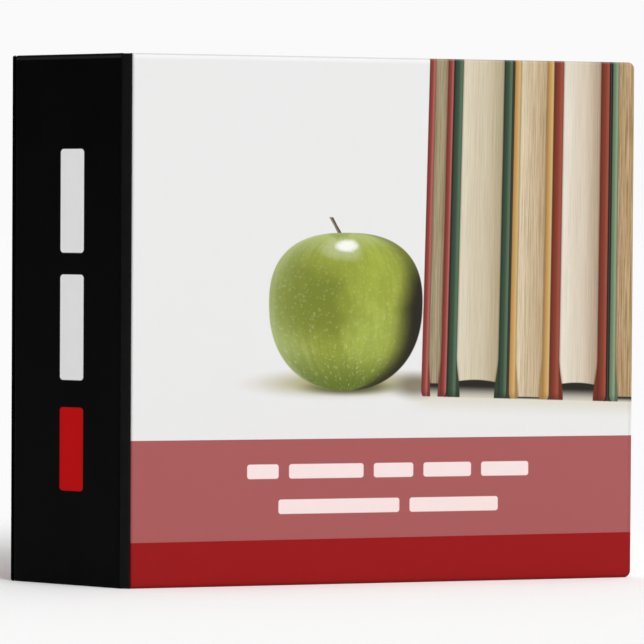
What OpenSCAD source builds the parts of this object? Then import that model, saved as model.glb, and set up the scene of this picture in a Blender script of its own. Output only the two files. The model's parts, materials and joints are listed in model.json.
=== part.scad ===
// Letter-size D-ring binder that stands on its lower edges with the front cover ajar.
// Seen from above, the spine lies along Y at low X, the back cover runs along +X at high Y, and the
// front cover swings out from the spine towards -Y. The ring metal is riveted inside the back cover.

/* [Covers] */
// Height of the covers
cover_h = 292; // [285:1:320]
// Width of a cover, from the outer face of the spine to the free edge
cover_w = 296; // [270:1:320]
// Width of the spine, between the outer faces of the two covers when shut
spine_w = 81; // [80:1:100]
// Angle from shut at which the front cover stands
cover_ajar = 40; // [0:1:70]
// Radius of a cover's free corners
corner_r = 3; // [1.5:0.5:8]
// Bend radius of a shut hinge, measured on its outer face
hinge_r = 3.6; // [3.4:0.1:5]

/* [Layers] */
// Thickness of the chipboard panels
board_t = 2.1; // [1.6:0.1:2.2]
// Thickness of the printed wrap
wrap_t = 0.4; // [0.3:0.05:0.5]
// Width of the wrap's turned-in margin
turn_in = 14; // [8:1:20]
// Thickness of the inside liner sheets
liner_t = 0.3; // [0.2:0.05:0.4]
// Uncovered margin between the liner and the cover's edge
liner_gap = 3.5; // [2:0.5:6]
// Thickness of the flexible hinge strips
film_t = 0.7; // [0.5:0.1:0.8]
// Thickness of the pocket sheets
pocket_t = 0.35; // [0.2:0.05:0.5]

/* [Pockets] */
// Distance from the cover's free edge and bottom edge to a pocket
pocket_margin = 8; // [5:1:15]
// Height of the nearer pockets
low_pocket_h = 130; // [80:5:180]
// Height of the pockets behind them
high_pocket_h = 195; // [150:5:260]
// Width of the front cover's pockets
front_pocket_w = 262; // [200:1:270]
// Width of the back cover's pockets, beside the ring metal
back_pocket_w = 205; // [150:1:210]

/* [Ring metal] */
// Distance from the spine's outer face to the middle of the housing
mech_x = 41; // [40:1:60]
// Distance between neighbouring rings
ring_pitch = 108; // [108:1:108]
// Diameter of the ring wire
wire_d = 4; // [3.2:0.2:4]
// Length of the housing
housing_l = 262; // [258:1:266]
// Width of the housing
housing_w = 32; // [32:1:34]
// Height of the housing
housing_h = 11; // [11:0.5:12]
// Thickness of the housing's sheet steel
housing_t = 1; // [0.8:0.1:1]
// Thickness of the carrier rails
rail_t = 1.2; // [1:0.1:1.2]
// Diameter of the lever pins
pin_d = 2.5; // [2:0.1:2.6]
// Length of a lever's arm above its pin
lever_l = 19; // [16:1:20]
// Diameter of the rivets' shanks
rivet_d = 4.4; // [4:0.1:4.6]
// Diameter of the rivet caps on the outside of the back cover
cap_d = 11; // [9:0.5:14]

/* [Hidden] */
$fn = 64;
eps = 0.01;
black = [0.03, 0.03, 0.03];
paper_white = [0.92, 0.92, 0.91];
board_grey = [0.62, 0.58, 0.52];
nickel = [0.78, 0.78, 0.8];

// Layers of a panel, counted inwards from its outer face
core_top = wrap_t + board_t;
wrap_top = core_top + wrap_t;
panel_t = wrap_top + liner_t;

// The hinge axis lies this far inside both outer faces, so the strip is as long shut as flat
hinge_inset = hinge_r * (1 - PI / 4);
hinge_reach = hinge_r * PI / 4;
hinge_turn = 90 - cover_ajar;
hinge_chord = 2 * norm([hinge_inset, hinge_reach])
    * sin((90 + 2 * atan2(hinge_inset, hinge_reach) + cover_ajar) / 2);
film_gap = 0.5;

// Ring metal. p runs from the middle of the housing to the cover's free edge, q up from the liner,
// and s along the housing from its middle.
housing_half = housing_w / 2;
wall_h = 5;
arch_rise = housing_h - wall_h;
arch_r = (housing_half * housing_half + arch_rise * arch_rise) / (2 * arch_rise);
lip_w = 2.1;
lip_q = 1.3;
lip_h = 0.9;
pivot_p = housing_half - housing_t - 0.6;
pivot_q = 3.4;
rail_dip = 4;
rail_half_gap = 0.2;
rail_half_l = 122.6;
rail_overhang = 0.3;

wire_r = wire_d / 2;
post_p = 10;
post_foot_q = 1.5;
post_top_q = 54;
knee_r = 7;
tip_gap = 0.1;
bow_r = 29;
bow_end = 220;
bow_foot_q = 1.9;
knee_p = post_p - knee_r;
bow_q = post_top_q + knee_r - bow_r;
slot_half = wire_r + 1;
stake_gap = 0.03;

rivet_s = 115;
rivet_r = rivet_d / 2;
rivet_play = 0.05;
rivet_head_r = 4.2;
rivet_head_q = housing_h - 0.5;
rivet_head_h = 1.2;
rail_notch_r = 3.4;
cap_h = 1.3;

pin_s = 126.5;
pin_q = 4.6;
pin_r = pin_d / 2;
pin_play = 0.05;
lever_lean = 12;
hub_r = 2.4;
hub_half = 10;
arm_half = 8;
arm_t = 1.8;
window_half = arm_half + 0.7;
window_s = 123;
fork_half = 2;
fork_reach = 4.8;
fork_web = 2.9;
fork_low_q = 0.5;
fork_high_q = 4.2;
fork_t = 1;
pad_l = 12;
pad_t = 4.2;
pad_half = 9;
pad_play = 0.05;

// The row's origin is the middle of the underside of everything, so the plan is shifted by this
reach_y = hinge_inset - (cover_w - hinge_inset) * sin(cover_ajar) - hinge_inset * cos(cover_ajar);
plan_shift = [-cover_w / 2, -(reach_y + spine_w + cap_h) / 2, 0];

// ---- Placing ----

module in_frame() {
    translate(plan_shift) children();
}

// A shut front cover, with its outer face at y = 0, swung out about the hinge axis
module on_front() {
    in_frame()
        translate([hinge_inset, hinge_inset, 0])
            rotate([0, 0, -cover_ajar])
                translate([-hinge_inset, -hinge_inset, 0])
                    children();
}

module on_back() {
    in_frame() translate([0, spine_w, 0]) mirror([0, 1, 0]) children();
}

module on_spine() {
    in_frame() mirror([1, -1, 0]) children();
}

module on_metal() {
    on_back() translate([mech_x, panel_t, cover_h / 2]) children();
}

// ---- Panels ----

// A flat shape in X and Z, filled from y0 to y1
module sheet_between(y0, y1) {
    translate([0, y1, 0]) rotate([90, 0, 0]) linear_extrude(y1 - y0) children();
}

// Outline of a cover, inset all round, with its free corners rounded
module cover_outline(inset = 0) {
    r = max(corner_r - inset, 0.6);
    left = hinge_r + inset;
    right = cover_w - inset;
    union() {
        translate([left, inset]) square([right - r - left, cover_h - 2 * inset]);
        translate([left, inset + r]) square([right - left, cover_h - 2 * (inset + r)]);
        for (z = [inset + r, cover_h - inset - r])
            translate([right - r, z]) circle(r = r);
    }
}

module spine_outline(inset = 0) {
    translate([hinge_r + inset, inset])
        square([spine_w - 2 * (hinge_r + inset), cover_h - 2 * inset]);
}

// The wrap is a skin over the outer face and edges, turned in over the margin of the inner face
module cover_wrap() {
    difference() {
        sheet_between(0, wrap_top) cover_outline();
        sheet_between(wrap_t, core_top) cover_outline(wrap_t);
        sheet_between(core_top - eps, wrap_top + 1) cover_outline(turn_in);
    }
}

module cover_board() {
    sheet_between(wrap_t, core_top) cover_outline(wrap_t);
}

// The liner lies on the turned-in margin and fills the level inside it
module cover_liner() {
    union() {
        sheet_between(wrap_top, panel_t) cover_outline(liner_gap);
        sheet_between(core_top, wrap_top) cover_outline(turn_in);
    }
}

module pocket(width, height, level) {
    low = panel_t + level * pocket_t;
    right = cover_w - pocket_margin;
    sheet_between(low, low + pocket_t)
        translate([right - width, pocket_margin]) square([width, height]);
}

// Holes for the two rivets through the layers of the back cover
module rivet_holes() {
    for (s = [-rivet_s, rivet_s])
        translate([mech_x, -1, cover_h / 2 + s])
            rotate([-90, 0, 0]) cylinder(r = rivet_r + rivet_play, h = panel_t + 2);
}

// A bent strip with its outer face tangent to the two panels that it joins
module hinge_strip(turn, radius) {
    in_bend = radius - film_t;
    translate([radius, hinge_r, film_gap])
        rotate([0, 0, 180])
            rotate_extrude(angle = turn)
                translate([in_bend, 0]) square([film_t, cover_h - 2 * film_gap]);
}

module back_board() {
    color(board_grey) on_back() difference() {
        cover_board();
        rivet_holes();
    }
}

module back_wrap() {
    color(paper_white) on_back() difference() {
        cover_wrap();
        rivet_holes();
    }
}

module back_liner() {
    color(paper_white) on_back() difference() {
        cover_liner();
        rivet_holes();
    }
}

module back_pocket_low() {
    color(paper_white) on_back() pocket(back_pocket_w, low_pocket_h, 1);
}

module back_pocket_high() {
    color(paper_white) on_back() pocket(back_pocket_w, high_pocket_h, 0);
}

module front_board() {
    color(board_grey) on_front() cover_board();
}

module front_wrap() {
    color(paper_white) on_front() cover_wrap();
}

module front_liner() {
    color(paper_white) on_front() cover_liner();
}

module front_pocket_low() {
    color(paper_white) on_front() pocket(front_pocket_w, low_pocket_h, 1);
}

module front_pocket_high() {
    color(paper_white) on_front() pocket(front_pocket_w, high_pocket_h, 0);
}

module spine_board() {
    color(board_grey) on_spine() sheet_between(wrap_t, core_top) spine_outline(wrap_t);
}

module spine_wrap() {
    color(black) on_spine() difference() {
        sheet_between(0, wrap_top) spine_outline();
        sheet_between(wrap_t, core_top) spine_outline(wrap_t);
        sheet_between(core_top - eps, wrap_top + 1) spine_outline(turn_in);
    }
}

module spine_liner() {
    color(paper_white) on_spine() union() {
        sheet_between(wrap_top, panel_t)
            translate([hinge_r, liner_gap])
                square([spine_w - 2 * hinge_r, cover_h - 2 * liner_gap]);
        sheet_between(core_top, wrap_top) spine_outline(turn_in);
    }
}

module front_hinge_strip() {
    color(black) in_frame() hinge_strip(hinge_turn, hinge_chord / (2 * sin(hinge_turn / 2)));
}

module rear_hinge_strip() {
    color(black) on_back() hinge_strip(90, hinge_r);
}

// ---- Housing, rivets and pins ----

// The region under the arch, down to the liner, for a channel with the given wall set off inwards
module arch_region(wall) {
    half = housing_half - wall;
    union() {
        translate([-half, 0]) square([2 * half, wall_h]);
        intersection() {
            translate([0, housing_h - arch_r]) circle(r = arch_r - wall, $fn = 128);
            translate([-half, wall_h - eps]) square([2 * half, housing_h]);
        }
    }
}

// Channel section: two walls, an arch over them and a lip on each wall that carries a rail's edge
module housing_section() {
    union() {
        difference() {
            arch_region(0);
            translate([0, -eps]) arch_region(housing_t);
            translate([-housing_half + housing_t, -1]) square([housing_w - 2 * housing_t, 1 + eps]);
        }
        for (side = [-1, 1])
            translate([side * (housing_half - housing_t / 2 - lip_w / 2), lip_q + lip_h / 2])
                square([lip_w + housing_t, lip_h], center = true);
    }
}

// Slots that let a ring half pass through the arch and swing
module ring_slots() {
    bow_slot = [-housing_half - 1, -7.5];
    post_slot = [post_p - wire_r - 0.6, post_p + wire_r + 2.2];
    for (s = [-ring_pitch, 0, ring_pitch])
        translate([0, 0, s - slot_half]) {
            translate([bow_slot[0], wall_h - 0.6, 0])
                cube([bow_slot[1] - bow_slot[0], housing_h, 2 * slot_half]);
            translate([post_slot[0], wall_h, 0])
                cube([post_slot[1] - post_slot[0], housing_h, 2 * slot_half]);
        }
}

// Open end of the arch that a lever's arm swings through
module lever_windows() {
    for (side = [0, 1])
        mirror([0, 0, side])
            translate([-window_half, wall_h, window_s])
                cube([2 * window_half, housing_h, housing_l]);
}

module pin_bores(radius, length) {
    for (side = [-1, 1])
        translate([-length / 2, pin_q, side * pin_s])
            rotate([0, 90, 0]) cylinder(r = radius, h = length);
}

module ring_housing() {
    color(nickel) on_metal() difference() {
        translate([0, 0, -housing_l / 2]) linear_extrude(housing_l) housing_section();
        ring_slots();
        lever_windows();
        pin_bores(pin_r + 0.02, housing_w + 2);
        for (side = [-1, 1])
            translate([0, 0, side * rivet_s]) rotate([-90, 0, 0]) {
                cylinder(r = rivet_r + rivet_play, h = 2 * housing_h);
                translate([0, 0, rivet_head_q]) cylinder(r = rivet_head_r + 0.2, h = housing_h);
            }
    }
}

// A shallow dome of the given base radius and height, on q = 0
module dome(radius, height) {
    ball = (radius * radius + height * height) / (2 * height);
    intersection() {
        translate([0, 0, height - ball]) sphere(r = ball, $fn = 128);
        cylinder(r = radius, h = 2 * height);
    }
}

module rivets() {
    color(nickel) on_metal()
        for (side = [-1, 1])
            translate([0, 0, side * rivet_s]) rotate([-90, 0, 0]) {
                translate([0, 0, -panel_t]) cylinder(r = rivet_r, h = panel_t + rivet_head_q);
                translate([0, 0, rivet_head_q]) dome(rivet_head_r, rivet_head_h);
            }
}

module rivet_caps() {
    color(nickel) on_metal()
        for (side = [-1, 1])
            translate([0, -panel_t, side * rivet_s]) rotate([90, 0, 0]) dome(cap_d / 2, cap_h);
}

module lever_pin(side) {
    color(nickel) on_metal()
        translate([-housing_half - 0.4, pin_q, side * pin_s])
            rotate([0, 90, 0]) cylinder(r = pin_r, h = housing_w + 0.8);
}

module top_lever_pin() {
    lever_pin(1);
}

module bottom_lever_pin() {
    lever_pin(-1);
}

// ---- Rings and rails ----

// Carrier rail on the side of positive p, dipped to the middle of the housing
module rail_plate() {
    width = pivot_p + rail_overhang - rail_half_gap;
    difference() {
        translate([pivot_p, pivot_q, 0])
            rotate([0, 0, rail_dip])
                translate([rail_overhang - width, -rail_t / 2, -rail_half_l])
                    cube([width, rail_t, 2 * rail_half_l]);
        for (side = [-1, 1])
            translate([0, -1, side * rivet_s])
                rotate([-90, 0, 0]) cylinder(r = rail_notch_r, h = housing_h);
    }
}

// Straight half of a ring, round the knee to the split at the top
module post_wire() {
    union() {
        translate([post_p, post_foot_q, 0])
            rotate([-90, 0, 0]) cylinder(r = wire_r, h = post_top_q - post_foot_q, $fn = 48);
        translate([knee_p, post_top_q, 0])
            rotate_extrude(angle = 90 - asin(tip_gap / knee_r), $fn = 128)
                translate([knee_r, 0]) circle(r = wire_r, $fn = 48);
    }
}

// Round bar along the slanting foot of a ring's curved half, from the end of the bow down
module bow_foot(radius, length) {
    translate([bow_r, 0, 0]) rotate([-90, 0, 0]) cylinder(r = radius, h = length, $fn = 48);
}

// The frame of a bow: its centre, turned so that the bow ends on the first axis
module at_bow() {
    translate([knee_p, bow_q, 0]) rotate([0, 0, bow_end]) children();
}

// Curved half of a ring, from the split at the top to its slanting foot
module bow_wire() {
    at_bow() union() {
        mirror([0, 1, 0])
            rotate_extrude(angle = bow_end - 90, $fn = 128)
                translate([bow_r, 0]) circle(r = wire_r, $fn = 48);
        bow_foot(wire_r, (bow_q + bow_r * sin(bow_end) - bow_foot_q) / -cos(bow_end));
    }
}

module post_rail() {
    color(nickel) on_metal() difference() {
        rail_plate();
        for (s = [-ring_pitch, 0, ring_pitch])
            translate([post_p, 0, s])
                rotate([-90, 0, 0]) cylinder(r = wire_r + stake_gap, h = housing_h);
    }
}

module ring_rail() {
    color(nickel) on_metal() difference() {
        mirror([1, 0, 0]) rail_plate();
        for (s = [-ring_pitch, 0, ring_pitch])
            translate([0, 0, s]) at_bow() bow_foot(wire_r + stake_gap, 2 * housing_h);
    }
}

module post_at(s) {
    color(nickel) on_metal() translate([0, 0, s]) post_wire();
}

module ring_at(s) {
    color(nickel) on_metal() translate([0, 0, s]) bow_wire();
}

module post_top() {
    post_at(ring_pitch);
}

module post_middle() {
    post_at(0);
}

module post_bottom() {
    post_at(-ring_pitch);
}

module ring_top() {
    ring_at(ring_pitch);
}

module ring_middle() {
    ring_at(0);
}

module ring_bottom() {
    ring_at(-ring_pitch);
}

// ---- Levers ----

// A flat shape in s and q, measured from the lever's pin, filled to both sides of p = 0
module across(half) {
    translate([half, 0, 0]) rotate([0, -90, 0]) linear_extrude(2 * half) children();
}

module arm_shape(extra = 0) {
    rotate(90 - lever_lean) {
        translate([0, -arm_t / 2 - extra]) square([lever_l, arm_t + 2 * extra]);
        translate([lever_l, 0]) circle(r = arm_t / 2 + extra);
    }
}

module lever() {
    difference() {
        union() {
            across(hub_half) circle(r = hub_r);
            across(arm_half) arm_shape();
            across(fork_half) {
                translate([-fork_reach, fork_low_q - pin_q]) square([fork_reach, fork_t]);
                translate([-fork_reach, fork_high_q - pin_q]) square([fork_reach, fork_t]);
                translate([-fork_web, fork_low_q - pin_q]) square([fork_web, pin_q - fork_low_q]);
            }
        }
        across(hub_half + 1) circle(r = pin_r + pin_play);
    }
}

// Moulded grip over the end of the arm
module lever_pad() {
    difference() {
        across(pad_half) rotate(90 - lever_lean) {
            translate([lever_l - pad_l, -pad_t / 2]) square([pad_l, pad_t]);
            translate([lever_l, 0]) circle(r = pad_t / 2);
        }
        across(arm_half + pad_play) arm_shape(pad_play);
    }
}

// Puts a shape measured from the pin at the top (1) or bottom (-1) end of the housing.
// The flat shapes have s along their first axis, which across() has turned to Z.
module at_pin(side) {
    on_metal()
        scale([1, 1, side])
            translate([0, pin_q, pin_s])
                children();
}

module top_lever() {
    color(nickel) at_pin(1) lever();
}

module bottom_lever() {
    color(nickel) at_pin(-1) lever();
}

module top_lever_pad() {
    color(black) at_pin(1) lever_pad();
}

module bottom_lever_pad() {
    color(black) at_pin(-1) lever_pad();
}

back_board();
back_wrap();
back_liner();
back_pocket_low();
back_pocket_high();
spine_board();
spine_wrap();
spine_liner();
front_hinge_strip();
rear_hinge_strip();
front_board();
front_wrap();
front_liner();
front_pocket_low();
front_pocket_high();
ring_housing();
rivets();
rivet_caps();
top_lever_pin();
bottom_lever_pin();
ring_rail();
ring_top();
ring_middle();
ring_bottom();
post_rail();
post_top();
post_middle();
post_bottom();
top_lever();
top_lever_pad();
bottom_lever();
bottom_lever_pad();
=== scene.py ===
import json
import math

import bpy
from mathutils import Matrix, Vector


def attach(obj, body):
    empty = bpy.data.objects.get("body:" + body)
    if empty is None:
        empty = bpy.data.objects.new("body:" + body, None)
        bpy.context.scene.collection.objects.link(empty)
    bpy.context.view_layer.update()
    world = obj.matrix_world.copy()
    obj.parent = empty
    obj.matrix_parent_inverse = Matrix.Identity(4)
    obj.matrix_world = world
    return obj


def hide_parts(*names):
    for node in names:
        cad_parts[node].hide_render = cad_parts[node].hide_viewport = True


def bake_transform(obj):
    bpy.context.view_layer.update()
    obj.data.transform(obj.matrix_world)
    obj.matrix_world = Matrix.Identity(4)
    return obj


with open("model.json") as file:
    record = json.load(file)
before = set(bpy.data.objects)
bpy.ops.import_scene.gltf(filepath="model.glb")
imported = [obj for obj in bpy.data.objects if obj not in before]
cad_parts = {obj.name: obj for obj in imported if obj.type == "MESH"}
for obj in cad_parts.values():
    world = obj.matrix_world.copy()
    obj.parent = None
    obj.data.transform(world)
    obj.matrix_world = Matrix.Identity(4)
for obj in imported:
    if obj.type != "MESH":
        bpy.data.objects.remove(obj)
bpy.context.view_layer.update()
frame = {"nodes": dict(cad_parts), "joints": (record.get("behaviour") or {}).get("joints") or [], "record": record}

# ---------------------------------------------------------------- sizes, in millimetres
# A wide ring binder that stands on its lower edges with its front cover ajar. The sizes are the CAD model's,
# apart from the three corner radii. PANEL_T is a panel's full thickness, and WRAP_TOP the depth of the inner
# face of a wrap's turned-in margin.
MM = 0.001
COVER_H = 292.0
COVER_W = 296.0
SPINE_W = 81.0
HINGE_R = 3.6
PANEL_T = 3.2
WRAP_TOP = 2.9
WRAP_T = 0.4
BOARD_T = 2.1
TURN_IN = 14.0
LINER_GAP = 3.5
FILM_T = 0.7
# Corners of a cover: at its free edge, at the front hinge, and at the rear hinge
CORNER_R = 3.8
HINGE_CORNER_R = 1.2
REAR_CORNER_R = 2.6
# Width of a cover's printed face
FACE_W = COVER_W - HINGE_R
POCKET_MARGIN = 8.0
POCKET_T = 0.35


# ---------------------------------------------------------------- frames of the three panels
def joint(name):
    """A joint of the frame, by its name."""
    return next(j for j in frame["joints"] if j["name"] == name)


HINGE = Vector(joint("front_hinge")["pos_m"])
AJAR = -math.radians(joint("front_hinge")["range_deg"][0])
# How far the front hinge's axis stands inside the outer corner of the shut binder
HINGE_INSET = HINGE_R * (1 - math.pi / 4) * MM
PLAN = Matrix.Translation((HINGE.x - HINGE_INSET, HINGE.y - HINGE_INSET, 0)) @ Matrix.Scale(MM, 4)


def swung_out(matrix):
    """The shut front cover's place, turned about its hinge to where it stands ajar."""
    axis = Matrix.Translation((HINGE.x, HINGE.y, 0))
    return axis @ Matrix.Rotation(-AJAR, 4, "Z") @ axis.inverted() @ matrix


# Each panel has its own axes: across from its hinge, inwards from its outer face, and up.
FRONT = swung_out(PLAN)
BACK = PLAN @ Matrix.Translation((0, SPINE_W, 0)) @ Matrix.Diagonal((1, -1, 1, 1))
SPINE = PLAN @ Matrix(((0, 1, 0, 0), (1, 0, 0, 0), (0, 0, 1, 0), (0, 0, 0, 1)))


# ---------------------------------------------------------------- mesh helpers
# The smallest radius that a corner keeps where an outline is moved in
MIN_CORNER_R = 0.12


def make_piece(name, points, faces, matrix, material, body, prints=None, flat=()):
    """A mesh piece from points in a panel's axes. prints holds each point's place on the printed sheet."""
    mesh = bpy.data.meshes.new(name)
    mesh.from_pydata([matrix @ Vector(p) for p in points], [], faces)
    if matrix.to_3x3().determinant() < 0:
        mesh.flip_normals()
    for number, polygon in enumerate(mesh.polygons):
        polygon.use_smooth = number not in flat
    if prints:
        place = mesh.attributes.new("print_mm", "FLOAT_VECTOR", "POINT")
        place.data.foreach_set("vector", [c for p in prints for c in (p[0], p[1], 0.0)])
    mesh.materials.append(material)
    mesh.validate()
    piece = bpy.data.objects.new(name, mesh)
    bpy.context.scene.collection.objects.link(piece)
    if body:
        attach(piece, body)
    return piece


def rounded_outline(low, high, radii, inset, steps=8):
    """Points round a rectangle with round corners, moved in by inset.

    The radii go round from the low corner: low-low, high-low, high-high, low-high.
    """
    (x0, z0), (x1, z1) = low, high
    corners = [(x0, z0, 180), (x1, z0, 270), (x1, z1, 0), (x0, z1, 90)]
    points = []
    for (x, z, start), radius in zip(corners, radii):
        r = max(radius - inset, MIN_CORNER_R)
        cx = x + (inset + r) * (1 if x == x0 else -1)
        cz = z + (inset + r) * (1 if z == z0 else -1)
        for k in range(steps + 1):
            angle = math.radians(start + 90 * k / steps)
            points.append((cx + r * math.cos(angle), cz + r * math.sin(angle)))
    return points


def lofted_panel(name, low, high, radii, profile, matrix, material, body, print_shift=0.0):
    """A closed panel: rings of the outline at each (inset, depth) of the profile, with flat ends.

    print_shift is where the printed sheet begins, across the panel.
    """
    points, faces = [], []
    for inset, depth in profile:
        ring = rounded_outline(low, high, radii, inset)
        points += [(x, depth, z) for x, z in ring]
    count = len(ring)
    for level in range(len(profile) - 1):
        a, b = level * count, (level + 1) * count
        for k in range(count):
            n = (k + 1) % count
            faces.append((a + k, b + k, b + n, a + n))
    last = (len(profile) - 1) * count
    faces.append(tuple(range(count)))
    faces.append(tuple(last + k for k in reversed(range(count))))
    prints = [(x - print_shift, z) for x, _, z in points]
    caps = (len(faces) - 2, len(faces) - 1)
    return make_piece(name, points, faces, matrix, material, body, prints, caps)


def round_over(radius, inset, depth, steps=6):
    """Profile points of an edge rounded from an outer face at depth down to a wall at inset."""
    turns = [math.radians(90 * k / steps) for k in range(steps + 1)]
    return [(inset + radius * (1 - math.sin(t)), depth + radius * (1 - math.cos(t))) for t in turns]


def round_under(radius, inset, depth, steps=5):
    """Profile points of an edge rounded from a wall at inset to an inner face at depth."""
    turns = [math.radians(90 * k / steps) for k in range(steps + 1)]
    return [(inset + radius * (1 - math.cos(t)), depth - radius * (1 - math.sin(t))) for t in turns]


# ---------------------------------------------------------------- material helpers
def linear(hex_colour):
    """Scene-linear colour from a display hex colour such as "98a03c"."""
    parts = [int(hex_colour[k:k + 2], 16) / 255 for k in (0, 2, 4)]
    return [p / 12.92 if p <= 0.04045 else ((p + 0.055) / 1.055) ** 2.4 for p in parts] + [1.0]


class Tree:
    """A material's node tree, with short names for the nodes that the materials use."""

    def __init__(self, name, **constants):
        self.material = bpy.data.materials.new(name)
        self.material.use_nodes = True
        self.nodes = self.material.node_tree.nodes
        self.links = self.material.node_tree.links
        self.shader = self.nodes["Principled BSDF"]
        for key, value in constants.items():
            self.shader.inputs[key.replace("_", " ")].default_value = value

    def node(self, kind, **settings):
        """A new shader node with the given settings."""
        made = self.nodes.new("ShaderNode" + kind)
        for key, value in settings.items():
            setattr(made, key, value)
        return made

    def feed(self, socket, value):
        """Link a socket to a Number or another socket, or set it to a constant."""
        if isinstance(value, Number):
            value = value.socket
        if isinstance(value, bpy.types.NodeSocket):
            self.links.new(value, socket)
        else:
            socket.default_value = value

    def math(self, operation, *values):
        """The result of a Math node."""
        made = self.node("Math", operation=operation)
        for socket, value in zip(made.inputs, values):
            self.feed(socket, value)
        return Number(self, made.outputs[0])

    def step(self, value, low, high, to_low=0.0, to_high=1.0):
        """Smooth step from to_low, below low, to to_high, above high."""
        made = self.node("MapRange", interpolation_type="SMOOTHSTEP")
        for socket, given in zip(made.inputs, (value, low, high, to_low, to_high)):
            self.feed(socket, given)
        return Number(self, made.outputs[0])

    def mix(self, factor, below, above):
        """A colour above laid over a colour below by a factor from 0 to 1."""
        made = self.node("Mix", data_type="RGBA")
        # A Mix node's sockets for colours come after those for floats and vectors
        self.feed(made.inputs[0], factor)
        self.feed(made.inputs[6], below)
        self.feed(made.inputs[7], above)
        return made.outputs[2]

    def vector(self, x, y):
        """A flat vector, for patterns on the printed sheet."""
        made = self.node("CombineXYZ")
        for socket, value in zip(made.inputs, (x, y)):
            self.feed(socket, value)
        return made.outputs[0]

    def noise(self, vector, scale, detail=2.0, roughness=0.5):
        """Fractal noise from 0 to 1, at scale features for each unit of the vector."""
        made = self.node("TexNoise")
        self.feed(made.inputs["Vector"], vector)
        made.inputs["Scale"].default_value = scale
        made.inputs["Detail"].default_value = detail
        made.inputs["Roughness"].default_value = roughness
        return Number(self, made.outputs["Fac"])

    def object_mm(self):
        """The piece's own coordinates in millimetres."""
        made = self.node("TexCoord")
        scaled = self.node("VectorMath", operation="SCALE")
        self.feed(scaled.inputs[0], made.outputs["Object"])
        scaled.inputs["Scale"].default_value = 1 / MM
        return scaled.outputs[0]

    def print_mm(self):
        """Place on the printed sheet: millimetres across and up."""
        made = self.node("Attribute", attribute_name="print_mm")
        apart = self.node("SeparateXYZ")
        self.feed(apart.inputs[0], made.outputs["Vector"])
        return Number(self, apart.outputs[0]), Number(self, apart.outputs[1])

    def bump(self, height, strength, distance_mm):
        """Relief on the shader, at most distance_mm high."""
        made = self.node("Bump")
        made.inputs["Strength"].default_value = strength
        made.inputs["Distance"].default_value = distance_mm * MM
        self.feed(made.inputs["Height"], height)
        self.feed(self.shader.inputs["Normal"], made.outputs[0])

    def use(self, socket, value):
        """Feed one of the shader's own sockets, by its name."""
        self.feed(self.shader.inputs[socket], value)


class Number:
    """A number that varies over a surface: arithmetic on it adds nodes."""

    def __init__(self, tree, socket):
        self.tree = tree
        self.socket = socket


def operator(operation, swapped=False):
    """A method for Number that adds one Math node, with its two values swapped or not."""

    def forward(first, second):
        return first.tree.math(operation, first, second)

    def backward(first, second):
        return first.tree.math(operation, second, first)

    return backward if swapped else forward


Number.__add__ = Number.__radd__ = operator("ADD")
Number.__mul__ = Number.__rmul__ = operator("MULTIPLY")
Number.__sub__ = operator("SUBTRACT")
Number.__rsub__ = operator("SUBTRACT", swapped=True)
Number.__truediv__ = operator("DIVIDE")
Number.__pow__ = operator("POWER")


def size_of(number):
    """A Number without its sign."""
    return number.tree.math("ABSOLUTE", number)


# ---------------------------------------------------------------- the printed artwork
# Places on a printed sheet are in millimetres: u across and v up from the foot. On a cover, u starts where
# its sheet does, at the hinge strip. On the spine, it starts at the outer face of the front cover.
WHITE = linear("f0f0f0")
BLACK_INK = linear("020202")
# Tops of the pale and the deep red band, and how much the deep one rises for each millimetre across
PINK_TOP = 80.8
RED_TOP = 25.0
RED_RISE = 0.0028
# Half the width over which a band's edge and a bar's edge fade
BAND_SOFT = 0.15
BAR_SOFT = 0.25

# The apple's middle, and its half sizes: across, above the middle and below it
APPLE_AT = (122.4, 152.6)
APPLE_HALF = (44.4, 42.2, 45.2)
STEM_FOOT = (118.4, 194.5)
STEM_RISE = 9.2
STEM_LEAN = 5.2
# Shadows of the apple: middle, half sizes, start and end of the fade, strength, and colour
APPLE_SHADOWS = [
    ((121.0, 111.5), (58.0, 9.0), 0.2, 1.15, 0.9, "a69e58"),
    ((124.0, 109.0), (34.0, 5.4), 0.3, 1.0, 0.9, "56573a"),
    ((163.0, 110.0), (19.0, 10.0), 0.2, 1.0, 0.85, "776d52"),
]

# The row of books: where it begins, how wide it is, the level of its foot, how much that falls from the
# first book to the last, the level at which the books' places are given, and the first book's lean
BOOKS_FROM = 170.0
BOOKS_SPAN = 125.0
BOOKS_FOOT = 103.8
FOOT_FALL = 4.2
BOOK_TOP = 292.0
BOOK_LEAN = 0.021
# How strongly the books' feet curve in, and how high up that reaches
FOOT_CURVE = 0.09
FOOT_REACH = 3.2
PAGE_GAP = linear("2b2722")


def rounded_bar(tree, x, y, centre, half, radius):
    """Mask of a bar with round corners."""
    over_x = tree.math("MAXIMUM", size_of(x - centre[0]) - (half[0] - radius), 0.0)
    over_y = tree.math("MAXIMUM", size_of(y - centre[1]) - (half[1] - radius), 0.0)
    away = tree.math("SQRT", over_x * over_x + over_y * over_y)
    return tree.step(away, radius - BAR_SOFT, radius + BAR_SOFT, 1.0, 0.0)


class Book:
    """A book seen from its fore edge: where it stands at the top of the cover, its boards and its colours.

    cloth holds a dark, a middle and a light tone, and pages the tones at the left, in the middle and at the
    right. board is a board's width, gap and arch shape the hollow below the leaves, streaks is how strongly
    single leaves show, and seam is half the width of the dark line to the next book.
    """

    def __init__(self, left, right, board, cloth, pages, streaks=0.3, gap=7.5, arch=2.6, seam=0.8):
        self.left, self.right, self.board = left, right, board
        self.cloth = [linear(tone) for tone in cloth]
        self.pages = [linear(tone) for tone in pages]
        self.streaks, self.gap, self.arch, self.seam = streaks, gap, arch, seam


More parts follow.
